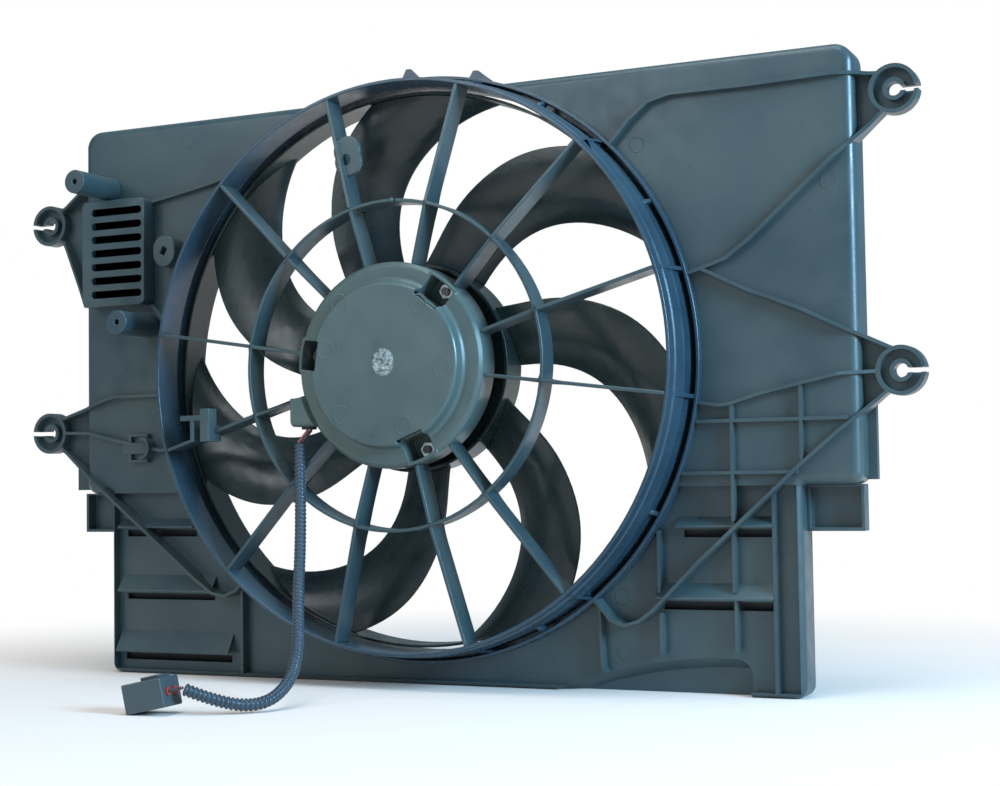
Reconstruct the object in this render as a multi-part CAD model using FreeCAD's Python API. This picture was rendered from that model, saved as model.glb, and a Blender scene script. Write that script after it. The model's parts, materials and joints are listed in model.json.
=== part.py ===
"""Engine-cooling radiator fan: moulded shroud, electric motor, seven-blade fan and wiring harness."""
import FreeCAD
import Part
import math
import os

V = FreeCAD.Vector
ALONG = V(0, 1, 0)

# Lengths are in millimetres. X runs to the right, Y back towards the radiator, Z up.
# The fan turns about the Y axis through X = 0, Z = 0, and the ring's front rim lies in the plane Y = 0.
# Every piece is drawn in that frame, and save() shifts it to the part's own origin on the base.

# Ring that the fan runs in
RING_R = 209.5
RING_WALL = 2.5
RING_STEP = 2.0
RING_STEP_Y = 24.0
RING_EDGE_Y = 9.0
RING_REAR_Y = 62.0

# Shroud panel around the ring
PANEL_Y = 45.0
SHEET = 2.5
PANEL_REAR_Y = 72.0
PANEL_LEFT = -316.0
PANEL_RIGHT = 331.0
PANEL_TOP = RING_R + 1.5
PANEL_BOTTOM = -RING_R - 27.5
LOWER_LEFT = -291.0
LOWER_RIGHT = 289.0
SHOULDER_Z = -91.0
RECESS = 8.0
RIM = 3.5
CORNER_R = 14.0
EDGE_R = 8.0
SLOT = 4.0
LIP_WALL = 2.5
LIP_HEIGHT = 7.0

# Ribs on the panel's face
RIB_W = 2.4
RIB_H = 6.0
WEB_T = 2.5

# Stator arms and their middle ring
CUP_R = 75.5
ARM_ANGLES = (14.5, 43.5, 73.5, 97.5, 141.5, 165.0, 194.5, 224.5, 254.0, 279.0, 314.0, 344.5)
BRIDGE_ANGLES = (28.9, 59.1, 120.5, 153.1)
GUSSET_W = 3.0
ARM_W = 2.6
ARM_DEPTH = 19.5
MID_R = CUP_R + 0.336 * (RING_R - CUP_R)
MID_WALL = 2.4
MID_FRONT_Y = -8.0

# Motor cup in the middle of the arms
CUP_FRONT_Y = -19.5
CUP_DISC_R = CUP_R - 15.5
CUP_SHOULDER_Y = -10.0
CUP_REAR_Y = 12.0
CUP_WALL = 2.5
NUT_CIRCLE_R = CUP_R - 8.9
NUT_ANGLES = (38.3, 158.3, 278.3)
POCKET_W = 26.0
POCKET_FLOOR_Y = 8.5

# Mounting ears, each an open-sided bolt seat
EAR_X = 357.5
EAR_R = 17.0
EAR_WALL = 2.8
EAR_HOLE_R = 4.8
EAR_MOUTH = 3.4
EAR_FRONT_Y = 50.0
EAR_SEAT_Y = 57.0
EAR_SEAT = 4.0
RIGHT_EAR_Z = (176.0, -15.0)
LEFT_EAR_Z = (136.0, -40.0)

# Electric motor
STUD_R = 3.0
NUT_ACROSS_FLATS = 10.0
NUT_H = 5.0
LUG_END_R = 6.0
FLANGE_T = 2.5
CAN_R = CUP_R - 23.5
CAN_WALL = 2.0
CAN_FRONT_Y = -15.5
CAN_REAR_Y = 36.0
END_PLATE_T = 2.5
SHAFT_R = 4.0
SHAFT_END_R = 3.0
SHAFT_REAR_Y = 66.0
FAN_NUT_ACROSS_FLATS = 12.0
BUSH_WALL = 4.0
BUSH_LENGTH = 9.0
BEARING_GAP = 0.04
MAGNET_T = 8.0
MAGNET_COUNT = 4
MAGNET_SPAN = 76.0
AIR_GAP = 0.9
CORE_FRONT_Y = 8.0
CORE_LENGTH = 20.0
COIL_OVERHANG = 5.0
TOOTH_COUNT = 12
SLOT_DEPTH = 12.0
SLOT_WIDTH = 7.0
CORE_CLEAR = 0.3
COMMUTATOR_R = 11.0
BRUSH_W = 6.0
BRUSH_DEPTH = 7.0
BRUSH_LENGTH = 13.0
BRUSH_SEAT = 0.3
SPRING_R = 2.5
SPRING_WALL = 0.8
SPRING_LENGTH = 11.0
HOLDER_WALL = 1.2
SLIDE_GAP = 0.3

# Fan
HUB_R = 78.0
HUB_WALL = 2.5
HUB_FRONT_Y = 28.0
HUB_REAR_Y = 57.0
BLADE_COUNT = 7
BLADE_TURN = 360.0 / BLADE_COUNT
BAND_R = RING_R - 3.5
BAND_WALL = 2.0
BAND_FRONT_Y = 32.0
BAND_REAR_Y = 58.5
BOSS_R = 12.0
BOSS_LENGTH = 14.0
BLADE_FIRST = 2.0

# Wiring harness
CONDUIT_R = 4.25
LEAD_R = 1.1
LEAD_APART = 3.0
FLOOR_Z = PANEL_BOTTOM
LEAD_GAP = 0.8
EXIT_X = 4.5 - CUP_R
EXIT_Y = -3.0
EXIT_BOX_W = 20.0
EXIT_BOX_Y = (-14.0, 4.0)
EXIT_BOX_TOP = -22.0
EXIT_BOX_BOTTOM = -43.0
EXIT_ROUND = 5.0
GROMMET_R = 4.0
GROMMET_DEPTH = 9.0
ROUTE = [
    (-77.0, -6.5, -56.5),
    (-72.0, -15.0, -83.0),
    (-66.0, -24.5, -109.0),
    (-60.0, -35.5, -135.0),
    (-54.0, -48.0, -160.0),
    (-46.0, -61.5, -183.0),
    (-36.0, -79.0, -204.0),
    (-29.0, -102.0, -221.5),
    (-33.0, -127.0, FLOOR_Z + 4.6),
    (-53.0, -146.5, FLOOR_Z + 7.0),
    (-76.5, -156.5, FLOOR_Z + 17.3),
]
PLUG_NOSE = V(-113.5, -159.0, FLOOR_Z)
PLUG_HEADING = 184.0
PLUG_TILT = 12.0
PLUG_L = 30.0
PLUG_W = 23.0
PLUG_H = 20.0
PLUG_WALL = 1.8
CAVITY_DEPTH = 18.0
WAY_APART = 9.0
SEAL_R = 2.9
SEAL_L = 9.0
TERMINAL_W = 4.0
TERMINAL_T = 0.8

ORIGIN = V(0, (CUP_FRONT_Y + PANEL_REAR_Y) / 2, PANEL_BOTTOM)
RING_REAR_R = RING_R + RING_STEP
LIP_R = RING_REAR_R + RING_WALL + SLOT
LIP_OUTER_R = LIP_R + LIP_WALL
LIP_FRONT_Y = PANEL_Y - LIP_HEIGHT
LOWER_Y = PANEL_Y + RECESS
BUSH_END_Y = CAN_FRONT_Y + CAN_WALL + BUSH_LENGTH - 3


def save(node, *solids):
    """Write one node, shifted so that the origin is under the middle of the object."""
    shape = solids[0] if len(solids) == 1 else Part.makeCompound(list(solids))
    shape = shape.copy()
    shape.translate(-ORIGIN)
    shape.exportStep(f"parts/{node}.step")
    valid = all(solid.isValid() for solid in shape.Solids)
    print(f"{node}: {len(shape.Solids)} solids, {shape.Volume / 1000:.2f} cm3, valid {valid}")


def box(x, y, z):
    """A block between two values of X, of Y and of Z."""
    low = V(min(x), min(y), min(z))
    return Part.makeBox(max(x) - low.x, max(y) - low.y, max(z) - low.z, low)


def rod(radius, y, x=0.0, z=0.0):
    """A cylinder along Y between two values of Y."""
    return Part.makeCylinder(radius, max(y) - min(y), V(x, min(y), z), ALONG)


def tube(outer, inner, y, x=0.0, z=0.0):
    """A hollow cylinder along Y."""
    return rod(outer, y, x, z).cut(rod(inner, (min(y) - 1, max(y) + 1), x, z))


def turned(shape, angle):
    """A copy turned clockwise about the fan axis, as the front view shows it."""
    copy = shape.copy()
    copy.rotate(V(0, 0, 0), ALONG, angle)
    return copy


def around(angle, radius):
    """X and Z of a point at a clock angle, clockwise from the top in the front view."""
    turn = math.radians(angle)
    return radius * math.sin(turn), radius * math.cos(turn)


def joined(solids):
    """One solid made of several that touch or overlap."""
    solids = list(solids)
    return solids[0].multiFuse(solids[1:]).removeSplitter()


def prism(points, y):
    """An X-Z outline carried along Y between two values of Y."""
    loop = [V(x, min(y), z) for x, z in points]
    return Part.Face(Part.makePolygon(loop + loop[:1])).extrude(V(0, max(y) - min(y), 0))


def rounded_prism(points, radii, y):
    """As prism, with each corner rounded to its own radius."""
    edges = []
    ends = []
    count = len(points)
    for i in range(count):
        corner = V(points[i][0], min(y), points[i][1])
        before = V(points[i - 1][0], min(y), points[i - 1][1]).sub(corner).normalize()
        after = V(points[(i + 1) % count][0], min(y), points[(i + 1) % count][1]).sub(corner).normalize()
        half = before.getAngle(after) / 2
        reach = radii[i] / math.tan(half)
        middle = before.add(after).normalize() * (radii[i] / math.sin(half) - radii[i])
        start, end = corner.add(before * reach), corner.add(after * reach)
        ends.append((start, corner.add(middle), end))
    for i, (start, middle, end) in enumerate(ends):
        edges.append(Part.Arc(start, middle, end).toShape())
        edges.append(Part.LineSegment(end, ends[(i + 1) % count][0]).toShape())
    return Part.Face(Part.Wire(edges)).extrude(V(0, max(y) - min(y), 0))


def strip(points, width, y):
    """A rib of constant width along a line of X-Z points."""
    pieces = []
    for (x0, z0), (x1, z1) in zip(points, points[1:]):
        length = math.hypot(x1 - x0, z1 - z0)
        across = (-(z1 - z0) / length * width / 2, (x1 - x0) / length * width / 2)
        pieces.append(prism([(x0 + across[0], z0 + across[1]), (x1 + across[0], z1 + across[1]),
                             (x1 - across[0], z1 - across[1]), (x0 - across[0], z0 - across[1])], y))
    pieces += [rod(width / 2, y, x, z) for x, z in points[1:-1]]
    return joined(pieces) if len(pieces) > 1 else pieces[0]


def revolved(profile):
    """A solid turned about the fan axis from a closed line of (radius, Y) points."""
    loop = [V(0, y, radius) for radius, y in profile]
    return Part.Face(Part.makePolygon(loop + loop[:1])).revolve(V(0, 0, 0), ALONG, 360)


def radial_plate(profile, width, angle):
    """A plate that stands in a plane through the axis, from (radius, Y) points."""
    loop = [V(-width / 2, y, radius) for radius, y in profile]
    plate = Part.Face(Part.makePolygon(loop + loop[:1])).extrude(V(width, 0, 0))
    return turned(plate, angle)


# Shroud panel

def outline(inset):
    """Corners of the panel's outline, moved inwards by a wall thickness."""
    left, right = PANEL_LEFT + inset, PANEL_RIGHT - inset
    top, bottom = PANEL_TOP - inset, PANEL_BOTTOM + inset
    low_left, low_right = LOWER_LEFT + inset, LOWER_RIGHT - inset
    shoulder = SHOULDER_Z + inset
    return [(left, top), (right, top), (right, shoulder), (low_right, shoulder),
            (low_right, bottom), (low_left, bottom), (low_left, shoulder), (left, shoulder)]


def outline_radii(inset):
    """Corner radii for the outline, smaller on the inside of the wall."""
    large = CORNER_R - inset
    small = EDGE_R - inset
    concave = 2.0 + inset
    return [large, large, small, concave, small, small, concave, small]


def front_edges(shape, y):
    """The edges that lie in one plane across the fan axis."""
    return [edge for edge in shape.Edges if all(abs(v.Point.y - y) < 1e-6 for v in edge.Vertexes)]


def panel_block():
    """The panel as a solid block: rounded front edges and the recessed lower face."""
    block = rounded_prism(outline(0), outline_radii(0), (PANEL_Y, PANEL_REAR_Y))
    block = block.makeFillet(EDGE_R - 1, front_edges(block, PANEL_Y))
    recess = box((LOWER_LEFT + RIM, LOWER_RIGHT - RIM), (PANEL_Y - 1, LOWER_Y), (PANEL_BOTTOM + RIM, SHOULDER_Z))
    return block.cut(recess)


def panel_hollow():
    """The space behind the sheet, deeper behind the recessed lower face."""
    hollow = rounded_prism(outline(SHEET), outline_radii(SHEET), (PANEL_Y + SHEET, PANEL_REAR_Y + 1))
    hollow = hollow.makeFillet(EDGE_R - 1 - SHEET / 2, front_edges(hollow, PANEL_Y + SHEET))
    behind = box((LOWER_LEFT, LOWER_RIGHT), (PANEL_Y, LOWER_Y + SHEET), (PANEL_BOTTOM, SHOULDER_Z + SHEET))
    return hollow.cut(behind)


LOUVRES = {
    "left_1": (-279.0, -211.0, -126.5, -121.0, 6.0),
    "left_2": (-279.0, -194.0, -177.5, -172.5, 12.0),
    "left_3": (-281.0, -178.0, -226.5, -221.0, 15.0),
    "right_1": (202.0, 266.0, -127.0, -121.5, 6.0),
    "right_2": (186.0, 266.0, -178.0, -172.0, 10.0),
}
HOOD_REACH = 9.0
HOOD_SHEET = 1.8
VENT_X = (-307.0, -245.0)
VENT_Z = (62.0, 149.0)
VENT_FRONT_Y = 30.0
VENT_SHEET = 2.6
VENT_ROUND = 5.0
VENT_BARS = 7
VENT_SLOT_H = 6.0
VENT_SLOT_X = (-298.0, -248.0)
VENT_HOLE_LEFT = -284.0
POCKET_Z = (-123.0, SHOULDER_Z)
POCKET_FRONT_Y = 60.0
RIGHT_POCKET_X = (LOWER_RIGHT, PANEL_RIGHT - 2)
LEFT_POCKET_X = (-327.0, LOWER_LEFT)
SIDE_FLANGE_T = 6.0
RIGHT_FLANGE = (PANEL_RIGHT - 1, PANEL_RIGHT + 6, SHOULDER_Z + 3, SHOULDER_Z + 95)
LEFT_FLANGE = (PANEL_LEFT - 24, PANEL_LEFT + 1, SHOULDER_Z + 3, SHOULDER_Z + 41)
TABS = ((-9.6, 9.5), (47.1, 7.0))
SCOOP_X = 235.0
SCOOP_END = 250.0
SCOOP_R = 350.0
SCOOP_H = 26.0
SCOOP_DEPTH = 9.0
SCOOP_SLOPE = 0.8
SCOOP_CORNER = 13.0


def panel_shell():
    """The whole panel: front sheet, recessed lower face and edge walls."""
    return panel_block().cut(panel_hollow())


def lower_zone():
    """The space of the recessed face, its rims and the step above it."""
    return box((LOWER_LEFT, LOWER_RIGHT), (PANEL_Y - 1, LOWER_Y + SHEET), (PANEL_BOTTOM - 1, SHOULDER_Z + SHEET))


def front_zone():
    """The thin space of the front sheet."""
    return box((PANEL_LEFT, PANEL_RIGHT), (PANEL_Y - 1, PANEL_Y + SHEET), (PANEL_BOTTOM, PANEL_TOP))


def lip_bore():
    """The round hole for the lip."""
    return rod(LIP_OUTER_R, (LIP_FRONT_Y - 1, PANEL_REAR_Y + 1))


def scoop(grow):
    """The hollow at the foot of the panel: an arch that narrows towards the back, larger by a wall."""
    back = SCOOP_DEPTH + grow
    middle = PANEL_BOTTOM + SCOOP_H - SCOOP_R
    front_r = SCOOP_R + grow
    cone = Part.makeCone(front_r, front_r - back * SCOOP_SLOPE, back, V(SCOOP_X, LOWER_Y, middle), ALONG)
    mouth = rod(front_r, (PANEL_Y - 1, LOWER_Y), SCOOP_X, middle)
    top = PANEL_BOTTOM + SCOOP_H + grow
    block = box((0, SCOOP_END + grow), (PANEL_Y - 2, LOWER_Y + back + 1), (PANEL_BOTTOM - 1, top))
    corner = [e for e in block.Edges if all(v.Point.x > 1 and v.Point.z > top - 1 for v in e.Vertexes)]
    block = block.makeFillet(SCOOP_CORNER, corner)
    return joined([cone, mouth]).common(block)


def scoop_shell():
    """The sheet behind the scoop."""
    inside = box((0, LOWER_RIGHT), (LOWER_Y, PANEL_REAR_Y), (PANEL_BOTTOM, SHOULDER_Z))
    return scoop(SHEET).common(inside).cut(scoop(0))


def upper_sheets():
    """The flat front sheet at each side of the ring, with the vent's hole in the left one."""
    sheets = panel_shell().cut(lower_zone()).common(front_zone()).cut(lip_bore())
    vent = box((VENT_HOLE_LEFT, VENT_X[1] - VENT_SHEET), (PANEL_Y - 1, PANEL_Y + SHEET + 1),
               (VENT_Z[0] + VENT_SHEET, VENT_Z[1] - VENT_SHEET))
    return sheets.cut(vent).Solids


def lower_sheet():
    """The recessed lower face with its rims, the step above it, the louvre slots and the scoop."""
    sheet = panel_shell().common(lower_zone()).cut(scoop(0))
    sheet = joined([sheet, scoop_shell()]).cut(lip_bore())
    for x0, x1, z0, z1, _ in LOUVRES.values():
        sheet = sheet.cut(box((x0, x1), (LOWER_Y - 1, LOWER_Y + SHEET + 1), (z0, z1)))
    return sheet


def panel_walls():
    """The edge walls behind the sheets."""
    walls = panel_shell().cut(lower_zone()).cut(front_zone()).cut(lip_bore())
    return walls.cut(scoop(0)).cut(scoop_shell())


def side_flanges(walls):
    """A flat flange on the rear edge of the wall at each side."""
    return [box((x0, x1), (PANEL_REAR_Y - SIDE_FLANGE_T, PANEL_REAR_Y), (z0, z1)).cut(walls)
            for x0, x1, z0, z1 in (RIGHT_FLANGE, LEFT_FLANGE)]


def side_pockets(walls):
    """An open-fronted box at each side of the narrower lower part of the panel."""
    pockets = []
    for x in (RIGHT_POCKET_X, LEFT_POCKET_X):
        outer = box(x, (POCKET_FRONT_Y, PANEL_REAR_Y), POCKET_Z)
        inner = box((min(x) + SHEET, max(x) - SHEET), (POCKET_FRONT_Y - 1, PANEL_REAR_Y - SHEET),
                    (min(POCKET_Z) + SHEET, max(POCKET_Z) - SHEET / 2))
        pockets.append(outer.cut(inner).cut(walls))
    return pockets


def ring_lip():
    """The round lip at the panel's hole, with two pointed tabs on top."""
    lip = tube(LIP_OUTER_R, LIP_R, (LIP_FRONT_Y, LOWER_Y + SHEET))
    tabs = []
    for x, height in TABS:
        foot = math.sqrt(LIP_R ** 2 - x ** 2)
        top = foot + LIP_WALL + height
        tabs.append(prism([(x - 8, foot), (x - 2, top), (x + 2, top), (x + 14, foot)], (PANEL_Y, PANEL_Y + SHEET)))
    return joined([lip] + tabs).cut(rod(LIP_R, (LIP_FRONT_Y - 1, PANEL_REAR_Y)))


FLAP_T = 1.0
FLAP_SWING = 6.0


def louvre_flaps():
    """A thin rubber flap behind each slot, held along its top edge."""
    back = LOWER_Y + SHEET
    flaps = []
    for x0, x1, z0, z1, _ in LOUVRES.values():
        profile = [(back, z1 + 7), (back + FLAP_T, z1 + 7), (back + FLAP_T, z1 + 1.5),
                   (back + FLAP_SWING, z0 - 4), (back + FLAP_SWING - FLAP_T, z0 - 4.5), (back, z1 + 1)]
        loop = [V(x0 - 2, y, z) for y, z in profile]
        flaps.append(Part.Face(Part.makePolygon(loop + loop[:1])).extrude(V(x1 - x0 + 4, 0, 0)))
    return flaps


def louvre_hoods():
    """Sloping hoods over the lower slots."""
    hoods = []
    for x0, x1, z0, z1, rise in LOUVRES.values():
        edge_y = LOWER_Y - HOOD_REACH
        top = z1 + 3 + rise
        profile = [(LOWER_Y, top), (edge_y, z1 + 3), (edge_y, z1 + 3 - HOOD_SHEET), (LOWER_Y, top - 2 * HOOD_SHEET)]
        loop = [V(x0 - 4, y, z) for y, z in profile]
        hoods.append(Part.Face(Part.makePolygon(loop + loop[:1])).extrude(V(x1 - x0 + 6, 0, 0)))
    return hoods


def vent_grille():
    """Raised slotted box at the upper left, open at the back."""
    outer = box(VENT_X, (VENT_FRONT_Y, PANEL_Y), VENT_Z)
    outer = outer.makeFillet(VENT_ROUND, [e for e in outer.Edges if abs(e.Vertexes[0].Point.y - e.Vertexes[1].Point.y) > 1])
    inner = box((VENT_X[0] + VENT_SHEET, VENT_X[1] - VENT_SHEET), (VENT_FRONT_Y + VENT_SHEET, PANEL_Y + 1),
                (VENT_Z[0] + VENT_SHEET, VENT_Z[1] - VENT_SHEET))
    grille = outer.cut(inner)
    pitch = (VENT_Z[1] - VENT_Z[0] - 2 * VENT_SHEET) / (VENT_BARS + 0.25)
    ends = (VENT_SLOT_X[0] + VENT_SLOT_H / 2, VENT_SLOT_X[1] - VENT_SLOT_H / 2)
    for i in range(VENT_BARS):
        z = VENT_Z[0] + VENT_SHEET + pitch * (i + 0.625)
        depth = (VENT_FRONT_Y - 1, VENT_FRONT_Y + VENT_SHEET + 1)
        slot = joined([box(ends, depth, (z - VENT_SLOT_H / 2, z + VENT_SLOT_H / 2)),
                       rod(VENT_SLOT_H / 2, depth, ends[0], z), rod(VENT_SLOT_H / 2, depth, ends[1], z)])
        grille = grille.cut(slot)
    return grille


POST_R = 9.5
POST_HOLE_R = 2.2
POST_HOLE_DEPTH = 22.0
POSTS = {"upper": (-288.0, 160.0, -4.0), "lower": (-250.0, 45.0, 0.0)}
BOSS = (-228.0, 104.0, 33.0)
BOSS_R = 10.5
BOSS_SLOT_W = 4.5


def screw_posts():
    """Two tall screw posts and a slotted boss that carry the fan's control unit."""
    posts = []
    for x, z, front in POSTS.values():
        post = rod(POST_R, (front, PANEL_Y), x, z)
        posts.append(post.cut(rod(POST_HOLE_R, (front - 1, front + POST_HOLE_DEPTH), x, z)))
    x, z, front = BOSS
    boss = joined([rod(BOSS_R, (front, PANEL_Y), x, z - 2), rod(BOSS_R, (front, PANEL_Y), x, z + 2)])
    slot = strip([(x - 2, z - 3), (x + 1, z + 3)], BOSS_SLOT_W, (front - 1, front + 9))
    posts.append(boss.cut(slot))
    return posts


# Ribs that carry load from the ears to the ring, each ended on the lip, then the light ribs
STRUTS = [
    [(352, 187), (330, 189), (259, 187), (201, 187), (185, 183), (170, 171), (158, 158)],
    [(352, 163), (329, 142), (257, 79), (240, 67), (228, 63)],
    [(350, 1), (325, 13), (291, 30), (256, 44), (222, 61)],
    [(344, -15), (319, -16), (262, -28), (242, -34), (234, -35)],
    [(349, -28), (289, -78), (216, -144), (182, -178), (171, -186), (160, -189), (150, -185), (142, -176)],
    [(-344, -28), (-313, -21), (-291, -14), (-281, -12), (-228, -12)],
    [(-344, -40), (-311, -41), (-281, -48), (-236, -57)],
    [(-344, -54), (-301, -84), (-203, -161), (-188, -171), (-176, -173), (-165, -168), (-157, -160)],
]
WEB_RIBS = [
    [(-344, 148), (-316, 163), (-296, 168)],
    [(-343, 122), (-321, 79), (-314, 64)],
]
FACE_RIBS = [
    [(242, -35), (242, -115)],
    [(291, -23), (291, -76)],
    [(216, -46), (323, -46)],
    [(203, -82), (288, -82)],
]
FACE_RIBS_TO_LIP = [
    [(-246, 146), (-190, 156), (-162, 163)],
    [(-250, 66), (-222, 38)],
]
RECESS_RIBS = [
    [(240, -91), (240, -165)],
    [(241, -170), (241, -206)],
    [(185, -122), (185, -166)],
    [(186, -180), (186, -209)],
    [(269, -91), (269, -234)],
]
RECESS_RIBS_TO_LIP = [
    [(147, -234), (141, -218), (139, -175)],
    [(-164, -234), (-164, -165)],
]


def to_lip(line):
    """The line with one more point, straight inwards on the lip."""
    x, z = line[-1]
    share = (LIP_OUTER_R - 1) / math.hypot(x, z)
    return line + [(x * share, z * share)]


def strut_reach():
    """The space the struts may fill: level over the panel, sloping back to the ears."""
    low, deep = PANEL_Y - RIB_H, EAR_SEAT_Y + EAR_SEAT
    end = EAR_X + EAR_R
    profile = [(-end, EAR_FRONT_Y), (-EAR_X + EAR_R, EAR_FRONT_Y), (PANEL_LEFT + 14, low),
               (PANEL_RIGHT - 14, low), (EAR_X - EAR_R, EAR_FRONT_Y), (end, EAR_FRONT_Y), (end, deep), (-end, deep)]
    loop = [V(x, y, PANEL_BOTTOM) for x, y in profile]
    return Part.Face(Part.makePolygon(loop + loop[:1])).extrude(V(0, 0, 2 * PANEL_TOP - PANEL_BOTTOM))


def ear_solid(x, z):
    """One ear: a shallow cup with a bolt hole that is open to the outside."""
    side = 1 if x > 0 else -1
    back = EAR_SEAT_Y + EAR_SEAT
    ear = rod(EAR_R, (EAR_FRONT_Y, back), x, z)
    ear = ear.cut(rod(EAR_R - EAR_WALL, (EAR_FRONT_Y - 1, EAR_SEAT_Y), x, z))
    rim = tube(EAR_HOLE_R + 3.0, EAR_HOLE_R, (EAR_FRONT_Y + 2, back), x, z)
    ear = ear.fuse(rim).cut(rod(EAR_HOLE_R, (EAR_FRONT_Y - 1, back + 1), x, z))
    mouth = box((x, x + side * (EAR_R + 2)), (EAR_FRONT_Y - 1, back + 1), (z - EAR_MOUTH / 2, z + EAR_MOUTH / 2))
    return ear.cut(mouth)


# Each ear: side, height, then how far above and below it the web meets the panel and the ear
EARS = [(1, RIGHT_EAR_Z[0], (13, 11, -13, -32)), (1, RIGHT_EAR_Z[1], (25, 16, -13, -27)),
        (-1, LEFT_EAR_Z[0], (27, 12, -14, -62)), (-1, LEFT_EAR_Z[1], (19, 12, -14, -32))]


def ear_web(side, z, offsets):
    """Corners of the web between the panel's edge and one ear."""
    panel_x = PANEL_RIGHT - 4 if side > 0 else PANEL_LEFT + 4
    ear_x = side * (EAR_X - 8)
    return [(panel_x, z + offsets[0]), (ear_x, z + offsets[1]), (ear_x, z + offsets[2]), (panel_x, z + offsets[3])]


def panel_ribs(block):
    """All the ribs on the front of the panel, the webs at its sides and the four ears."""
    deep = EAR_SEAT_Y + EAR_SEAT
    lines = [to_lip(line) for line in STRUTS] + WEB_RIBS
    ribs = joined([strip(line, RIB_W, (PANEL_Y - RIB_H, deep)) for line in lines]).common(strut_reach())
    webs = [prism(ear_web(*ear), (deep - WEB_T, deep)) for ear in EARS]
    face = FACE_RIBS + [to_lip(line) for line in FACE_RIBS_TO_LIP]
    recess = RECESS_RIBS + [to_lip(line) for line in RECESS_RIBS_TO_LIP]
    grid = [strip(line, RIB_W, (PANEL_Y - RIB_H + 1, PANEL_Y + 1)) for line in face]
    grid += [strip(line, RIB_W, (PANEL_Y + 0.5, LOWER_Y + 1)) for line in recess]
    shape = joined([ribs] + webs + grid)
    for side, z, _ in EARS:
        shape = shape.cut(rod(EAR_R - 1, (0, PANEL_REAR_Y), side * EAR_X, z))
    shape = joined([shape] + [ear_solid(side * EAR_X, z) for side, z, _ in EARS])
    cup = rod(LIP_OUTER_R, (0, PANEL_REAR_Y))
    vent = box(VENT_X, (VENT_FRONT_Y, PANEL_Y), VENT_Z)
    shape = shape.cut(joined([block, cup])).cut(vent).cut(scoop(0))
    for piece in louvre_hoods() + screw_posts() + [rib_clip()]:
        shape = shape.cut(piece)
    return shape


RIB_CLIP_X = (-274.0, -245.0)
RIB_CLIP_Z = (-66.0, -43.0)
RIB_CLIP_T = 5.0


def rib_clip():
    """Small cable clip across one of the left ribs, with two slots and a half loop."""
    y = (PANEL_Y - RIB_CLIP_T, PANEL_Y)
    middle = sum(RIB_CLIP_Z) / 2
    right = max(RIB_CLIP_X)
    clip = box((min(RIB_CLIP_X), right - 8), y, (middle - 5, middle + 5))
    clip = clip.fuse(box((min(RIB_CLIP_X) + 5, right - 5), y, RIB_CLIP_Z))
    for z in (middle - 7, middle + 7):
        clip = clip.cut(box((min(RIB_CLIP_X) + 8, right - 8), (min(y) - 1, max(y) - 1), (z - 2.5, z + 2.5)))
    loop = tube(9.0, 7.0, (PANEL_Y - 2 * RIB_CLIP_T, PANEL_Y), right - 9, middle)
    return clip.fuse(loop.common(box((right - 9, right), (0, PANEL_Y), RIB_CLIP_Z))).removeSplitter()


# Ring, arms and motor cup

def fan_ring():
    """The ring in two steps, joined to the lip by a floor, by a gusset at each arm and by four bridges."""
    outer, inner = RING_R + RING_WALL, RING_R
    rear_outer, rear_inner = RING_REAR_R + RING_WALL, RING_REAR_R
    ring = revolved([(inner, 0), (outer, 0), (outer + 0.2, RING_EDGE_Y), (outer + 1.6, RING_EDGE_Y + 1.5),
                     (outer + 1.8, RING_STEP_Y - 3), (rear_outer + 1.2, RING_STEP_Y),
                     (rear_outer, RING_STEP_Y + 3), (rear_outer, RING_REAR_Y), (rear_inner, RING_REAR_Y),
                     (rear_inner, RING_STEP_Y + 3), (inner, RING_STEP_Y + 1)])
    gusset = [(RING_R + 1, 1), (RING_REAR_R + RING_WALL + 1, RING_STEP_Y - 6), (LIP_R, LIP_FRONT_Y),
              (LIP_R, RING_REAR_Y - 6), (RING_REAR_R + 1, RING_REAR_Y - 6), (RING_REAR_R + 1, RING_STEP_Y + 4),
              (RING_R + 1, RING_STEP_Y - 4)]
    gussets = [radial_plate(gusset, GUSSET_W, angle) for angle in ARM_ANGLES]
    bridge = [(RING_REAR_R + 1, LIP_FRONT_Y - 7), (LIP_R - 2, LIP_FRONT_Y - 5), (LIP_R, LIP_FRONT_Y),
              (LIP_R, LIP_FRONT_Y + 6), (RING_REAR_R + 1, LIP_FRONT_Y + 6)]
    bridges = [radial_plate(bridge, GUSSET_W, angle) for angle in BRIDGE_ANGLES]
    floor = tube(LIP_R, RING_REAR_R + 1, (LOWER_Y, LOWER_Y + SHEET))
    return joined([ring, floor] + gussets + bridges)


def arm_profile():
    """Side view of one arm as (radius, Y) points, between the cup and the ring."""
    front = [(CUP_R - 1, MID_FRONT_Y + 2), (MID_R, MID_FRONT_Y), (RING_R + 1, 0)]
    return front + [(radius, y + ARM_DEPTH) for radius, y in reversed(front)]


LUG_ANGLE = 344.5
LUG_R = (MID_R + RING_R) / 2
PEG_ANGLE = 2.0


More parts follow.
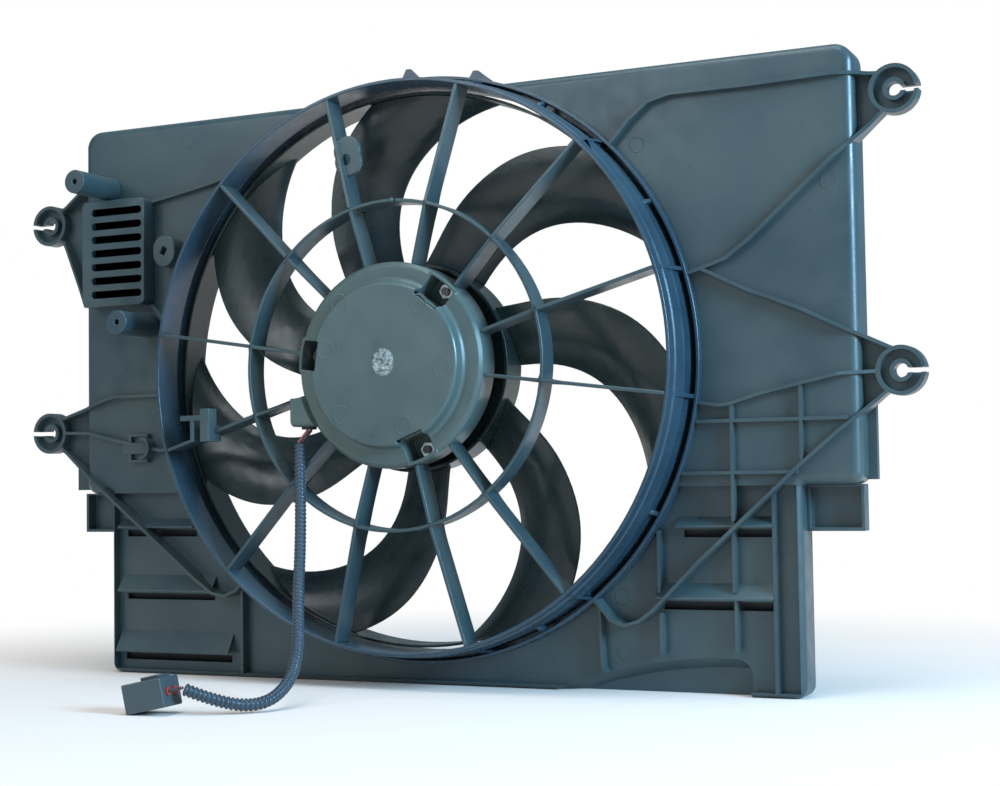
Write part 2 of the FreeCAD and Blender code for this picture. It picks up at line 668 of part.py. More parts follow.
def stator_arms():
    """Twelve arms and their middle ring, with the harness lug on one arm."""
    outlet = exit_box()
    arms = [radial_plate(arm_profile(), ARM_W, angle).cut(outlet) for angle in ARM_ANGLES]
    middle = tube(MID_R + MID_WALL / 2, MID_R - MID_WALL / 2, (MID_FRONT_Y, MID_FRONT_Y + ARM_DEPTH))
    lug_x, lug_z = around(LUG_ANGLE, LUG_R)
    lug = rod(11.0, (-1, 3), lug_x + 6, lug_z + 3).fuse(rod(11.0, (-1, 3), lug_x + 7, lug_z - 5))
    lug = lug.cut(rod(4.0, (-2, 4), lug_x + 5, lug_z - 4))
    peg = rod(1.6, (MID_FRONT_Y - 3, MID_FRONT_Y + 4), *around(PEG_ANGLE, MID_R))
    shape = joined(arms + [middle, lug, peg])
    return shape.common(rod(RING_R, (-40, 60))).cut(rod(CUP_R, (-60, 60)))


def pocket_box(angle, grow, y):
    """A block over one motor nut, square to the radius."""
    inner_r, outer_r = NUT_CIRCLE_R - POCKET_W / 2 - grow, CUP_R + 4
    block = box((-POCKET_W / 2 - grow, POCKET_W / 2 + grow), y, (inner_r, outer_r))
    return turned(block, angle)


def exit_box():
    """Block at the side of the cup, with a rounded underside, where the leads leave."""
    block = box((EXIT_X - EXIT_BOX_W / 2, EXIT_X + EXIT_BOX_W / 2), EXIT_BOX_Y, (EXIT_BOX_BOTTOM, EXIT_BOX_TOP))
    front = [e for e in block.Edges if all(abs(v.Point.y - min(EXIT_BOX_Y)) < 1e-6 for v in e.Vertexes)]
    low = [e for e in front if all(abs(v.Point.z - EXIT_BOX_BOTTOM) < 1e-6 for v in e.Vertexes)]
    return block.makeFillet(EXIT_ROUND, low)


def motor_cup():
    """Stepped cup over the front of the motor, with a pocket at each nut and a box where the leads leave."""
    cup = revolved([(0, CUP_FRONT_Y), (CUP_DISC_R - 1.5, CUP_FRONT_Y), (CUP_DISC_R, CUP_FRONT_Y + 1.5),
                    (CUP_DISC_R + 1, CUP_SHOULDER_Y - 2), (CUP_DISC_R + 3, CUP_SHOULDER_Y),
                    (CUP_R - 3, CUP_SHOULDER_Y), (CUP_R, CUP_SHOULDER_Y + 3), (CUP_R, CUP_REAR_Y),
                    (CUP_R - CUP_WALL, CUP_REAR_Y), (CUP_R - CUP_WALL, CUP_SHOULDER_Y + CUP_WALL),
                    (CUP_DISC_R - CUP_WALL, CUP_SHOULDER_Y + CUP_WALL), (CUP_DISC_R - CUP_WALL, CUP_FRONT_Y + CUP_WALL),
                    (0, CUP_FRONT_Y + CUP_WALL)])
    floor_back = POCKET_FLOOR_Y + CUP_WALL
    inside = rod(CUP_R, (CUP_FRONT_Y, CUP_REAR_Y))
    for angle in NUT_ANGLES:
        cup = cup.fuse(pocket_box(angle, 0, (CUP_SHOULDER_Y, floor_back)).common(inside))
        hollow = pocket_box(angle, -CUP_WALL + 0.5, (CUP_FRONT_Y - 1, POCKET_FLOOR_Y))
        cup = cup.cut(hollow.common(rod(CUP_R - CUP_WALL, (CUP_FRONT_Y - 1, CUP_REAR_Y))))
        x, z = around(angle, NUT_CIRCLE_R)
        cup = cup.cut(rod(STUD_R + 0.4, (CUP_FRONT_Y, CUP_REAR_Y), x, z))
    hole = Part.makeCylinder(GROMMET_R, GROMMET_DEPTH + 1, V(EXIT_X, EXIT_Y, EXIT_BOX_BOTTOM - 1))
    return joined([cup, exit_box().cut(rod(CUP_R - 1, (CUP_FRONT_Y, CUP_REAR_Y)))]).cut(hole)


# Motor

def motor_flange():
    """Steel flange that clamps the can against the cup at three studs."""
    y = (POCKET_FLOOR_Y + CUP_WALL, POCKET_FLOOR_Y + CUP_WALL + FLANGE_T)
    plate = rod(CAN_R + 4, y)
    for angle in NUT_ANGLES:
        x, z = around(angle, NUT_CIRCLE_R)
        plate = plate.fuse(rod(LUG_END_R, y, x, z))
        plate = plate.fuse(turned(box((-LUG_END_R, LUG_END_R), y, (CAN_R, NUT_CIRCLE_R)), angle))
        plate = plate.cut(rod(STUD_R, (y[0] - 1, y[1] + 1), x, z))
    return plate.cut(rod(CAN_R, (y[0] - 1, y[1] + 1))).removeSplitter()


def motor_can():
    """Drawn steel can, closed in front round the bearing seat."""
    can = rod(CAN_R, (CAN_FRONT_Y, CAN_REAR_Y)).cut(rod(CAN_R - CAN_WALL, (CAN_FRONT_Y + CAN_WALL, CAN_REAR_Y + 1)))
    seat_r = SHAFT_R + BEARING_GAP + BUSH_WALL
    return can.fuse(tube(seat_r + 2, seat_r, (CAN_FRONT_Y, BUSH_END_Y))).removeSplitter()


def end_plate():
    """Rear plate of the motor, with the second bearing seat."""
    seat_r = SHAFT_R + BEARING_GAP + BUSH_WALL
    plate = rod(CAN_R, (CAN_REAR_Y, CAN_REAR_Y + END_PLATE_T))
    plate = plate.fuse(rod(seat_r + 2, (CAN_REAR_Y - 5, CAN_REAR_Y + 4))).cut(rod(seat_r, (0, 60)))
    return plate.removeSplitter()


def bushes():
    """Two sintered bushes that the shaft runs in."""
    bore = SHAFT_R + BEARING_GAP
    front = tube(bore + BUSH_WALL, bore, (CAN_FRONT_Y + CAN_WALL, BUSH_END_Y))
    rear = tube(bore + BUSH_WALL, bore, (CAN_REAR_Y - 5, CAN_REAR_Y + 4))
    return front, rear


def magnets():
    """Arc magnets glued inside the can."""
    outer = CAN_R - CAN_WALL
    y = (CORE_FRONT_Y - 2, CORE_FRONT_Y + CORE_LENGTH + 2)
    whole = tube(outer, outer - MAGNET_T, y)
    reach = 2 * CAN_R
    span = math.radians(MAGNET_SPAN / 2)
    wedge = prism([(0, 0), (-reach * math.tan(span), reach), (reach * math.tan(span), reach)], y)
    return [whole.common(turned(wedge, 360.0 / MAGNET_COUNT * i)) for i in range(MAGNET_COUNT)]


CORE_R = CAN_R - CAN_WALL - MAGNET_T - AIR_GAP
CORE_Y = (CORE_FRONT_Y, CORE_FRONT_Y + CORE_LENGTH)


def winding_slot(index, inset, y):
    """The space between two teeth of the armature."""
    half = SLOT_WIDTH / 2 - inset
    block = box((-half, half), y, (CORE_R - 2 - SLOT_DEPTH + inset, CORE_R - 2 - inset))
    return turned(block, 360.0 / TOOTH_COUNT * (index + 0.5))


def armature_core():
    """Laminated core with slots for the windings."""
    core = rod(CORE_R, CORE_Y).cut(rod(SHAFT_R, (CORE_Y[0] - 1, CORE_Y[1] + 1)))
    gap = (CORE_Y[0] - 1, CORE_Y[1] + 1)
    cuts = [winding_slot(i, 0, gap) for i in range(TOOTH_COUNT)]
    cuts += [turned(box((-1.2, 1.2), gap, (CORE_R - 4, CORE_R + 1)), 360.0 / TOOTH_COUNT * (i + 0.5))
             for i in range(TOOTH_COUNT)]
    return core.cut(joined(cuts))


def armature_windings():
    """Copper coils: bars in the slots, joined by a ring of end turns at each side."""
    front = (CORE_Y[0] - COIL_OVERHANG, CORE_Y[0] - CORE_CLEAR)
    rear = (CORE_Y[1] + CORE_CLEAR, CORE_Y[1] + COIL_OVERHANG)
    outer, inner = CORE_R - 3, CORE_R - SLOT_DEPTH - 3
    bars = [winding_slot(i, CORE_CLEAR, (front[0] + 1, rear[1] - 1)) for i in range(TOOTH_COUNT)]
    return joined(bars + [tube(outer, inner, front), tube(outer, inner, rear)])


COMMUTATOR_Y = (BUSH_END_Y + 1, CORE_FRONT_Y - CORE_CLEAR)


def commutator():
    """Copper collar on the shaft that the brushes press on."""
    return tube(COMMUTATOR_R, SHAFT_R, COMMUTATOR_Y)


BRUSH_Y = (COMMUTATOR_Y[0], COMMUTATOR_Y[0] + BRUSH_DEPTH)
BRUSH_START = COMMUTATOR_R + BRUSH_SEAT
SPRING_START = BRUSH_START + BRUSH_LENGTH + BRUSH_SEAT


def brush(side):
    """Carbon brush, above or below the commutator."""
    return box((-BRUSH_W / 2, BRUSH_W / 2), BRUSH_Y, (side * BRUSH_START, side * (BRUSH_START + BRUSH_LENGTH)))


def brush_spring(side):
    """Coil spring that presses one brush in, drawn as the space its coils fill."""
    middle = V(0, sum(BRUSH_Y) / 2, side * SPRING_START)
    whole = Part.makeCylinder(SPRING_R, SPRING_LENGTH, middle, V(0, 0, side))
    return whole.cut(Part.makeCylinder(SPRING_R - SPRING_WALL, SPRING_LENGTH, middle, V(0, 0, side)))


def brush_card():
    """Plastic ring in the front of the can with a sleeve for each brush and its spring."""
    front = CAN_FRONT_Y + CAN_WALL
    seat_r = SHAFT_R + BEARING_GAP + BUSH_WALL + 2
    card = tube(CAN_R - CAN_WALL - CORE_CLEAR, seat_r + 1, (front, front + 2))
    end = SPRING_START + SPRING_LENGTH + BRUSH_SEAT
    for side in (-1, 1):
        wide = BRUSH_W / 2 + SLIDE_GAP
        deep = (BRUSH_Y[0] - SLIDE_GAP, BRUSH_Y[1] + SLIDE_GAP)
        sleeve = box((-wide - HOLDER_WALL, wide + HOLDER_WALL), (front, deep[1] + HOLDER_WALL),
                     (side * (BRUSH_START + 2), side * (end + HOLDER_WALL)))
        card = card.fuse(sleeve).cut(box((-wide, wide), deep, (side * (BRUSH_START - 1), side * end)))
    return card.removeSplitter()


def motor_studs():
    """Three studs through the flange and the cup."""
    back = POCKET_FLOOR_Y + CUP_WALL + FLANGE_T
    studs = []
    for angle in NUT_ANGLES:
        x, z = around(angle, NUT_CIRCLE_R)
        head = rod(STUD_R + 2.2, (back, back + 2.5), x, z)
        studs.append(rod(STUD_R, (POCKET_FLOOR_Y - NUT_H - 2, back + 1), x, z).fuse(head).removeSplitter())
    return studs


def hexagon(across_flats, y, x, z):
    """A six-sided block along Y."""
    corner = across_flats / math.sqrt(3)
    points = [(x + corner * math.cos(math.radians(60 * i)), z + corner * math.sin(math.radians(60 * i)))
              for i in range(6)]
    return prism(points, y)


def motor_nuts():
    """Hex nuts on the studs, sunk in the cup's pockets."""
    nuts = []
    for angle in NUT_ANGLES:
        x, z = around(angle, NUT_CIRCLE_R)
        nut = hexagon(NUT_ACROSS_FLATS, (POCKET_FLOOR_Y - NUT_H, POCKET_FLOOR_Y), x, z)
        nuts.append(nut.cut(rod(STUD_R, (0, POCKET_FLOOR_Y + 1), x, z)))
    return nuts


def motor_shaft():
    """Shaft with a flat where the fan sits and a stepped threaded end."""
    shaft = rod(SHAFT_R, (CAN_FRONT_Y + CAN_WALL + 0.5, HUB_REAR_Y)).fuse(rod(SHAFT_END_R, (HUB_REAR_Y - 1, SHAFT_REAR_Y)))
    flat = box((-SHAFT_R, SHAFT_R), (HUB_REAR_Y - BOSS_LENGTH, HUB_REAR_Y), (SHAFT_R - 1, SHAFT_R + 1))
    return shaft.cut(flat)


# Fan

# One blade as (share of the way from hub to band, left edge, right edge), in degrees past the blade's own mark
BLADE_LINE = [(-0.016, 3.0, 36.5), (0.172, 10.0, 36.5), (0.367, 14.8, 39.3), (0.563, 20.5, 45.0),
              (0.758, 27.3, 53.5), (0.914, 34.5, 62.0), (1.094, 44.5, 73.5)]
BLADE_LEFT_Y = 36.0
BLADE_RIGHT_Y = 54.0
BLADE_ROOT_T = 3.4
BLADE_TIP_T = 2.0
BLADE_CAMBER = 0.055


def blade_section(share, left, right):
    """A thin cambered section across the blade, square to the radius at its middle."""
    radius = HUB_R + share * (BAND_R - HUB_R)
    half = radius * math.sin(math.radians(right - left) / 2)
    out = radius * math.cos(math.radians(right - left) / 2)
    thick = BLADE_ROOT_T + (BLADE_TIP_T - BLADE_ROOT_T) * share
    rise = BLADE_CAMBER * 2 * half
    low, high = V(-half, BLADE_LEFT_Y, out), V(half, BLADE_RIGHT_Y, out)
    chord = high.sub(low).normalize()
    away = V(chord.y, -chord.x, 0)
    middle = low.add(high) * 0.5
    nose = thick * 0.35
    front = Part.Arc(low.add(away * nose), middle.add(away * (rise + thick / 2)), high.add(away * nose)).toShape()
    back = Part.Arc(high.sub(away * nose), middle.add(away * (rise - thick / 2)), low.sub(away * nose)).toShape()
    ends = [Part.LineSegment(high.add(away * nose), high.sub(away * nose)).toShape(),
            Part.LineSegment(low.sub(away * nose), low.add(away * nose)).toShape()]
    section = Part.Wire([front, ends[0], back, ends[1]])
    section.rotate(V(0, 0, 0), ALONG, (left + right) / 2)
    return section


def one_blade():
    """One swept blade, trimmed to the hub and the band."""
    blade = Part.makeLoft([blade_section(*row) for row in BLADE_LINE], True, False)
    reach = tube(BAND_R + BAND_WALL / 2, HUB_R - HUB_WALL / 2, (HUB_FRONT_Y - 5, HUB_REAR_Y + 10))
    return blade.common(reach)


def fan():
    """Hub, seven blades and the band that turns with them, moulded in one: hub, blades, band."""
    hub = revolved([(SHAFT_R, HUB_REAR_Y - BOSS_LENGTH), (BOSS_R, HUB_REAR_Y - BOSS_LENGTH),
                    (BOSS_R, HUB_REAR_Y - HUB_WALL), (HUB_R - HUB_WALL, HUB_REAR_Y - HUB_WALL - 4),
                    (HUB_R - HUB_WALL, HUB_FRONT_Y), (HUB_R, HUB_FRONT_Y), (HUB_R, HUB_REAR_Y - 4),
                    (HUB_R - 3, HUB_REAR_Y - 1), (BOSS_R + 3, HUB_REAR_Y), (SHAFT_R, HUB_REAR_Y)])
    key = box((-SHAFT_R, SHAFT_R), (HUB_REAR_Y - BOSS_LENGTH, HUB_REAR_Y - HUB_WALL), (SHAFT_R - 0.9, SHAFT_R + 2))
    spokes = [turned(box((-1.2, 1.2), (HUB_REAR_Y - BOSS_LENGTH + 4, HUB_REAR_Y - HUB_WALL),
                         (BOSS_R - 1, HUB_R - HUB_WALL + 0.5)), BLADE_TURN * i) for i in range(BLADE_COUNT)]
    band = tube(BAND_R + BAND_WALL, BAND_R, (BAND_FRONT_Y, BAND_REAR_Y))
    blade = max(one_blade().cut(hub).cut(band).Solids, key=lambda solid: solid.Volume)
    blades = [turned(blade, BLADE_FIRST + BLADE_TURN * i) for i in range(BLADE_COUNT)]
    return joined([hub, key] + spokes), blades, band


def fan_nut():
    """Nut and washer that hold the fan on its shaft."""
    nut = hexagon(FAN_NUT_ACROSS_FLATS, (HUB_REAR_Y + 1.5, HUB_REAR_Y + 7), 0, 0).fuse(rod(9.0, (HUB_REAR_Y, HUB_REAR_Y + 1.5)))
    return nut.cut(rod(SHAFT_END_R, (HUB_REAR_Y - 1, SHAFT_REAR_Y + 1))).removeSplitter()


# Harness

def corner_arcs(points):
    """The tangent arc at each inner point: start, middle, end and radius."""
    arcs = []
    for before, corner, after in zip(points, points[1:], points[2:]):
        back = before.sub(corner)
        ahead = after.sub(corner)
        shorter = min(back.Length, ahead.Length)
        reach = 0.45 * shorter
        back.normalize()
        ahead.normalize()
        half_turn = (math.pi - back.getAngle(ahead)) / 2
        radius = reach / math.tan(half_turn)
        middle = back.add(ahead).normalize() * (radius / math.cos(half_turn) - radius)
        arcs.append((corner.add(back * reach), corner.add(middle), corner.add(ahead * reach), radius))
    return arcs


def cord(points, radius, label):
    """A round cord on straight runs joined by tangent arcs."""
    points = [V(*point) for point in points]
    arcs = corner_arcs(points)
    edges = []
    place = points[0]
    for start, middle, end, _ in arcs:
        edges.append(Part.LineSegment(place, start).toShape())
        edges.append(Part.Arc(start, middle, end).toShape())
        place = end
    edges.append(Part.LineSegment(place, points[-1]).toShape())
    path = Part.Wire(edges)
    circle = Part.Wire(Part.Circle(points[0], points[1].sub(points[0]), radius).toShape())
    solid = path.makePipeShell([circle], True, False)
    expected = math.pi * radius ** 2 * path.Length
    radii = ", ".join(f"{arc[3]:.0f}" for arc in arcs)
    print(f"{label}: length {path.Length:.1f}, volume / expected {solid.Volume / expected:.4f}, radii {radii}")
    return solid


def straight(start, end, radius):
    """A short straight wire."""
    run = end.sub(start)
    return Part.makeCylinder(radius, run.Length, start, run)


def lead_grommet():
    """Rubber sleeve in the mouth of the exit box, with a hole for each lead."""
    body = Part.makeCylinder(GROMMET_R, GROMMET_DEPTH, V(EXIT_X, EXIT_Y, EXIT_BOX_BOTTOM))
    collar = Part.makeCylinder(GROMMET_R + 1.6, 2, V(EXIT_X, EXIT_Y, EXIT_BOX_BOTTOM - 2))
    body = body.fuse(collar).removeSplitter()
    for side in (-1, 1):
        body = body.cut(Part.makeCylinder(LEAD_R, 20, V(EXIT_X + side * LEAD_APART / 2, EXIT_Y, EXIT_BOX_BOTTOM - 5)))
    return body


def motor_leads():
    """The two leads between the grommet and the top of the conduit."""
    top = V(*ROUTE[0])
    run = V(*ROUTE[1]).sub(top).normalize()
    leads = []
    for side in (-1, 1):
        aside = V(side * LEAD_APART / 2, 0, 0)
        start = V(EXIT_X, EXIT_Y, EXIT_BOX_BOTTOM + GROMMET_DEPTH).add(aside)
        bend = V(EXIT_X, EXIT_Y, EXIT_BOX_BOTTOM - 3).add(aside)
        end = top.sub(run * (LEAD_R + LEAD_GAP)).add(aside)
        leads.append(joined([straight(start, bend, LEAD_R), Part.makeSphere(LEAD_R, bend), straight(bend, end, LEAD_R)]))
    return leads


def plug_place(shape):
    """Move a plug piece from its own axes, nose towards +X, to where the plug leans on its nose."""
    shape.translate(V(-PLUG_L / 2, 0, 0))
    shape.rotate(V(0, 0, 0), V(0, 1, 0), PLUG_TILT)
    shape.rotate(V(0, 0, 0), V(0, 0, 1), PLUG_HEADING)
    shape.translate(PLUG_NOSE)
    return shape


def way_rod(radius, start, length, side):
    """A cylinder along one of the plug's two ways."""
    return Part.makeCylinder(radius, length, V(start, side * WAY_APART / 2, PLUG_H / 2), V(1, 0, 0))


def plug_housing():
    """Two-way plug body with an open nose and grooves along its top."""
    body = Part.makeBox(PLUG_L, PLUG_W, PLUG_H, V(-PLUG_L / 2, -PLUG_W / 2, 0))
    body = body.makeFillet(1.5, [e for e in body.Edges if abs(e.Vertexes[0].Point.x - e.Vertexes[1].Point.x) > 1])
    cavity = Part.makeBox(CAVITY_DEPTH, PLUG_W - 2 * PLUG_WALL, PLUG_H - 3 * PLUG_WALL,
                          V(PLUG_L / 2 - CAVITY_DEPTH, -PLUG_W / 2 + PLUG_WALL, PLUG_WALL))
    body = body.cut(cavity)
    for side in (-1, 1):
        body = body.cut(Part.makeBox(PLUG_L * 0.55, 3.0, 1.4, V(-PLUG_L * 0.1, side * 7.0 - 1.5, PLUG_H - 1.4)))
        body = body.cut(way_rod(SEAL_R, -PLUG_L / 2 - 1, SEAL_L + 1, side))
        slot = Part.makeBox(PLUG_L, TERMINAL_W, TERMINAL_T, V(-PLUG_L / 2 + SEAL_L, side * WAY_APART / 2
                                                              - TERMINAL_W / 2, (PLUG_H - TERMINAL_T) / 2))
        body = body.cut(slot)
    return plug_place(body)


def plug_lock():
    """Latch that slides in the groove on the plug's top."""
    bar = Part.makeBox(PLUG_L * 0.5, 7.0, 2.2, V(-PLUG_L * 0.35, -3.5, PLUG_H))
    return plug_place(bar.fuse(Part.makeBox(5.0, 11.0, 1.6, V(-PLUG_L * 0.45, -5.5, PLUG_H))).removeSplitter())


def plug_seals():
    """Rubber seal round each wire at the back of the plug."""
    seals = []
    for side in (-1, 1):
        seal = way_rod(SEAL_R, -PLUG_L / 2 - 1.5, SEAL_L + 1.5, side)
        seals.append(plug_place(seal.cut(way_rod(LEAD_R, -PLUG_L, PLUG_L, side))))
    return seals


def plug_terminals():
    """Flat blade terminals, each held in a slot behind the plug's nose."""
    length = PLUG_L - SEAL_L - 4.0
    blades = []
    for side in (-1, 1):
        corner = V(-PLUG_L / 2 + SEAL_L, side * WAY_APART / 2 - TERMINAL_W / 2, (PLUG_H - TERMINAL_T) / 2)
        blades.append(plug_place(Part.makeBox(length, TERMINAL_W, TERMINAL_T, corner)))
    return blades


def way_entry(side, depth):
    """Where a lead stands in one way of the placed plug, at a depth behind its back face."""
    point = Part.Vertex(-PLUG_L / 2 + depth, side * WAY_APART / 2, PLUG_H / 2)
    return plug_place(point).Point


def plug_leads():
    """The two leads between the end of the conduit and the plug, each through its seal."""
    end = V(*ROUTE[-1])
    end = end.add(end.sub(V(*ROUTE[-2])).normalize() * (LEAD_R + LEAD_GAP))
    leads = []
    for side in (-1, 1):
        entry, inner = way_entry(side, -2.5), way_entry(side, SEAL_L - 1)
        apart = V(entry.x - way_entry(-side, -2.5).x, entry.y - way_entry(-side, -2.5).y, 0).normalize()
        start = end.add(apart * (LEAD_APART / 2))
        free = straight(start, entry, LEAD_R)
        leads.append(joined([free, Part.makeSphere(LEAD_R, entry), straight(entry, inner, LEAD_R)]))
    return leads


HARNESS_CLIP_X = 43.5 - RING_R
HARNESS_CLIP_Z = -36.0


def harness_clip(arms):
    """Moulded cable clip that stands on the arm beside the lead exit."""
    x, z = HARNESS_CLIP_X, HARNESS_CLIP_Z
    bar = box((x - 14, x + 12), (-13, -10), (z, z + 4))
    stem = box((x - 5, x - 2), (-13, 4), (z - 16, z + 1))
    wide = box((x + 4, x + 12), (-13, 4), (z - 16, z + 9))
    solids = joined([bar, stem, wide]).cut(arms).cut(box((x - 20, x + 20), (-2, 40), (z - 4, z + 12))).Solids
    return max(solids, key=lambda solid: solid.Volume)


def build():
    """Make every piece and write it to its own file."""
    block = panel_block()
    walls = panel_walls()
    arms = stator_arms()
    save("upper_sheets", *upper_sheets())
    save("lower_sheet", lower_sheet())
    save("panel_walls", walls)
    flanges = side_flanges(walls)
    save("side_flanges", *flanges)
    save("side_pockets", *side_pockets(joined([walls] + flanges)))
    save("ring_lip", ring_lip())
    ribs = panel_ribs(block)
    inside = box((PANEL_LEFT, PANEL_RIGHT), (-30, PANEL_REAR_Y + 10), (PANEL_BOTTOM - 30, PANEL_TOP + 30))
    save("panel_ribs", *ribs.common(inside).Solids)
    save("bolt_ears", *ribs.cut(inside).Solids)
    save("louvre_hoods", *louvre_hoods())
    save("louvre_flaps", *louvre_flaps())
    save("rib_clip", rib_clip())
    save("vent_grille", vent_grille())
    save("screw_posts", *screw_posts())
    save("fan_ring", fan_ring())
    save("stator_arms", arms)
    save("motor_cup", motor_cup())
    save("motor_flange", motor_flange())
    save("motor_can", motor_can())
    save("motor_end_plate", end_plate())
    front, rear = bushes()
    save("front_bush", front)
    save("rear_bush", rear)
    save("motor_magnets", *magnets())
    save("armature_core", armature_core())
    save("armature_windings", armature_windings())
    save("commutator", commutator())
    save("motor_shaft", motor_shaft())
    save("brush_card", brush_card())
    for name, side in (("lower", -1), ("upper", 1)):
        save(f"{name}_brush", brush(side))
        save(f"{name}_brush_spring", brush_spring(side))
    save("motor_studs", *motor_studs())
    save("motor_nuts", *motor_nuts())
    hub, blades, band = fan()
    save("fan_hub", hub)
    save("fan_blades", *blades)
    save("fan_band", band)
    save("fan_nut", fan_nut())
    save("lead_grommet", lead_grommet())
    save("motor_leads", *motor_leads())
    save("harness_conduit", cord(ROUTE, CONDUIT_R, "conduit"))
    save("plug_leads", *plug_leads())
    save("plug_housing", plug_housing())
    save("plug_lock", plug_lock())
    save("plug_seals", *plug_seals())
    save("plug_terminals", *plug_terminals())
    save("harness_clip", harness_clip(arms))


os.makedirs("parts", exist_ok=True)
build()
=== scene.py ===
# %% [markdown]
# # A car's radiator fan
# This lesson dresses a CAD model of an engine-cooling fan so that it looks like the real one: a dark moulded
# shroud, a ring with twelve stator arms, a motor in its cup, a fan with seven swept blades and a harness in
# corrugated conduit. The CAD pieces arrive with the right size and place, so Blender's work is edges, small
# details, materials and light. All lengths are metres, and the object stands on the plane Z = 0.

# %% Load the CAD frame
import json
import math
import bmesh
import bpy
from mathutils import Matrix, Vector, noise as field

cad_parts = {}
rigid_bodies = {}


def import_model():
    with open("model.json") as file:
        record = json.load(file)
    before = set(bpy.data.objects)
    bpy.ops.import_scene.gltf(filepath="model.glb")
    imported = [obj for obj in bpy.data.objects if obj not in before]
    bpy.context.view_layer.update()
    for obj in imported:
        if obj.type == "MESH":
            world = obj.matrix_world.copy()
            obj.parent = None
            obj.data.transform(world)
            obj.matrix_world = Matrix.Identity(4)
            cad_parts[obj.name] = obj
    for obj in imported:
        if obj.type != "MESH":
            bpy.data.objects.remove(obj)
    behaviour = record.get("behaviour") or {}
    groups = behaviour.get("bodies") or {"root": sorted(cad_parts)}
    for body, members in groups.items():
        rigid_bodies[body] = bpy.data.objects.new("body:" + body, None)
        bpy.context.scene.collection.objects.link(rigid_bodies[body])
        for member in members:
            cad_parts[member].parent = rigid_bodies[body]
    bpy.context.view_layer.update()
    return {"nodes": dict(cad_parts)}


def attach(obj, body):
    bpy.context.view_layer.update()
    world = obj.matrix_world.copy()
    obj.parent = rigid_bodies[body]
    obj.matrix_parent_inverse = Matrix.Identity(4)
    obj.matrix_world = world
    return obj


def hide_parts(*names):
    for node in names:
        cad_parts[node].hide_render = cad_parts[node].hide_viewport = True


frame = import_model()

# %% [markdown]
# The drawing of the real part is centred on the fan's axis, so it is easiest to write places in millimetres
# from that axis: X to the right, Y back towards the radiator, Z up. One helper turns them into metres in the
# object's own frame. The other ways are to type metres everywhere, or to parent all pieces to an empty, but
# finished pieces have to sit at the origin with their place in the mesh.

# %% Places measured from the fan's axis
AXIS_Y = 0.02625
AXIS_Z = 0.237


def at(x, y, z):
    """A point in metres from millimetres measured off the fan's axis."""
    return Vector((x / 1000, y / 1000 - AXIS_Y, z / 1000 + AXIS_Z))


print("fan axis at", tuple(round(v, 4) for v in at(0, 0, 0)))

# %% [markdown]
# ## The camera
# The photograph looks at the fan from the front right, a little below the middle. A camera can be aimed with
# a constraint, but its three axes are known here from the ring's ellipse and the panel's edges, so they are
# written straight into its matrix. The lens is given for a 36 mm sensor.

# %% Camera at the photograph's view
LENS = 62.32
CAMERA_RIGHT = Vector((0.9068, 0.4212, -0.0148))
CAMERA_UP = Vector((0.0347, -0.0397, 0.9986))
CAMERA_BACK = Vector((0.4201, -0.9061, -0.0507))
CAMERA_PLACE = at(600.9, -1113.5, -85.3)

camera_data = bpy.data.cameras.new("photo_camera")
camera_data.lens = LENS
camera_data.sensor_width = 36
camera_data.clip_start = 0.01
camera_data.clip_end = 50
camera = bpy.data.objects.new("photo_camera", camera_data)
bpy.context.scene.collection.objects.link(camera)
turn = Matrix((CAMERA_RIGHT, CAMERA_UP, CAMERA_BACK)).transposed()
camera.matrix_world = Matrix.Translation(CAMERA_PLACE) @ turn.to_4x4()
bpy.context.scene.camera = camera
bpy.context.scene.view_settings.view_transform = "Standard"
print("camera at", tuple(round(v, 3) for v in CAMERA_PLACE))

# %% [markdown]
# ## Materials
# Every material here is a short chain of nodes, so five helpers come first: a new shader, a noise, a colour
# ramp, a number's range and a mix. They all read Object coordinates, which need no unwrapping and hold at any
# size. Image textures would do too, but they have to be unwrapped and kept beside the file.

# %% Helpers for shader trees
NOISE_ROUGHNESS = 0.55


def shader(name):
    """A new material with its tree, its shader and its Object coordinates."""
    material = bpy.data.materials.new(name)
    material.use_nodes = True
    nodes = material.node_tree.nodes
    coords = nodes.new("ShaderNodeTexCoord")
    return material, nodes, material.node_tree.links, nodes["Principled BSDF"], coords.outputs["Object"]


def noise(nodes, links, place, scale, detail=3.0):
    """A noise texture's value on the piece's own coordinates."""
    texture = nodes.new("ShaderNodeTexNoise")
    texture.inputs["Scale"].default_value = scale
    texture.inputs["Detail"].default_value = detail
    texture.inputs["Roughness"].default_value = NOISE_ROUGHNESS
    links.new(place, texture.inputs["Vector"])
    return texture.outputs["Fac"]


def ramp(nodes, links, value, low, high, start, end):
    """A colour that goes from one to another while the value goes from start to end."""
    mix = nodes.new("ShaderNodeValToRGB")
    mix.color_ramp.elements[0].position = start
    mix.color_ramp.elements[0].color = (*low, 1)
    mix.color_ramp.elements[1].position = end
    mix.color_ramp.elements[1].color = (*high, 1)
    links.new(value, mix.inputs["Fac"])
    return mix.outputs["Color"]


def spread(nodes, links, value, low, high):
    """A number that follows the value between two ends."""
    span = nodes.new("ShaderNodeMapRange")
    span.inputs["From Min"].default_value = 0.3
    span.inputs["From Max"].default_value = 0.7
    span.inputs["To Min"].default_value = low
    span.inputs["To Max"].default_value = high
    links.new(value, span.inputs["Value"])
    return span.outputs["Result"]


def mixed(nodes, links, share, first, second):
    """Two colours mixed by a share."""
    mix = nodes.new("ShaderNodeMix")
    mix.data_type = "RGBA"
    links.new(share, mix.inputs["Factor"])
    links.new(first, mix.inputs["A"])
    links.new(second, mix.inputs["B"])
    return mix.outputs["Result"]


print("shader helpers made")

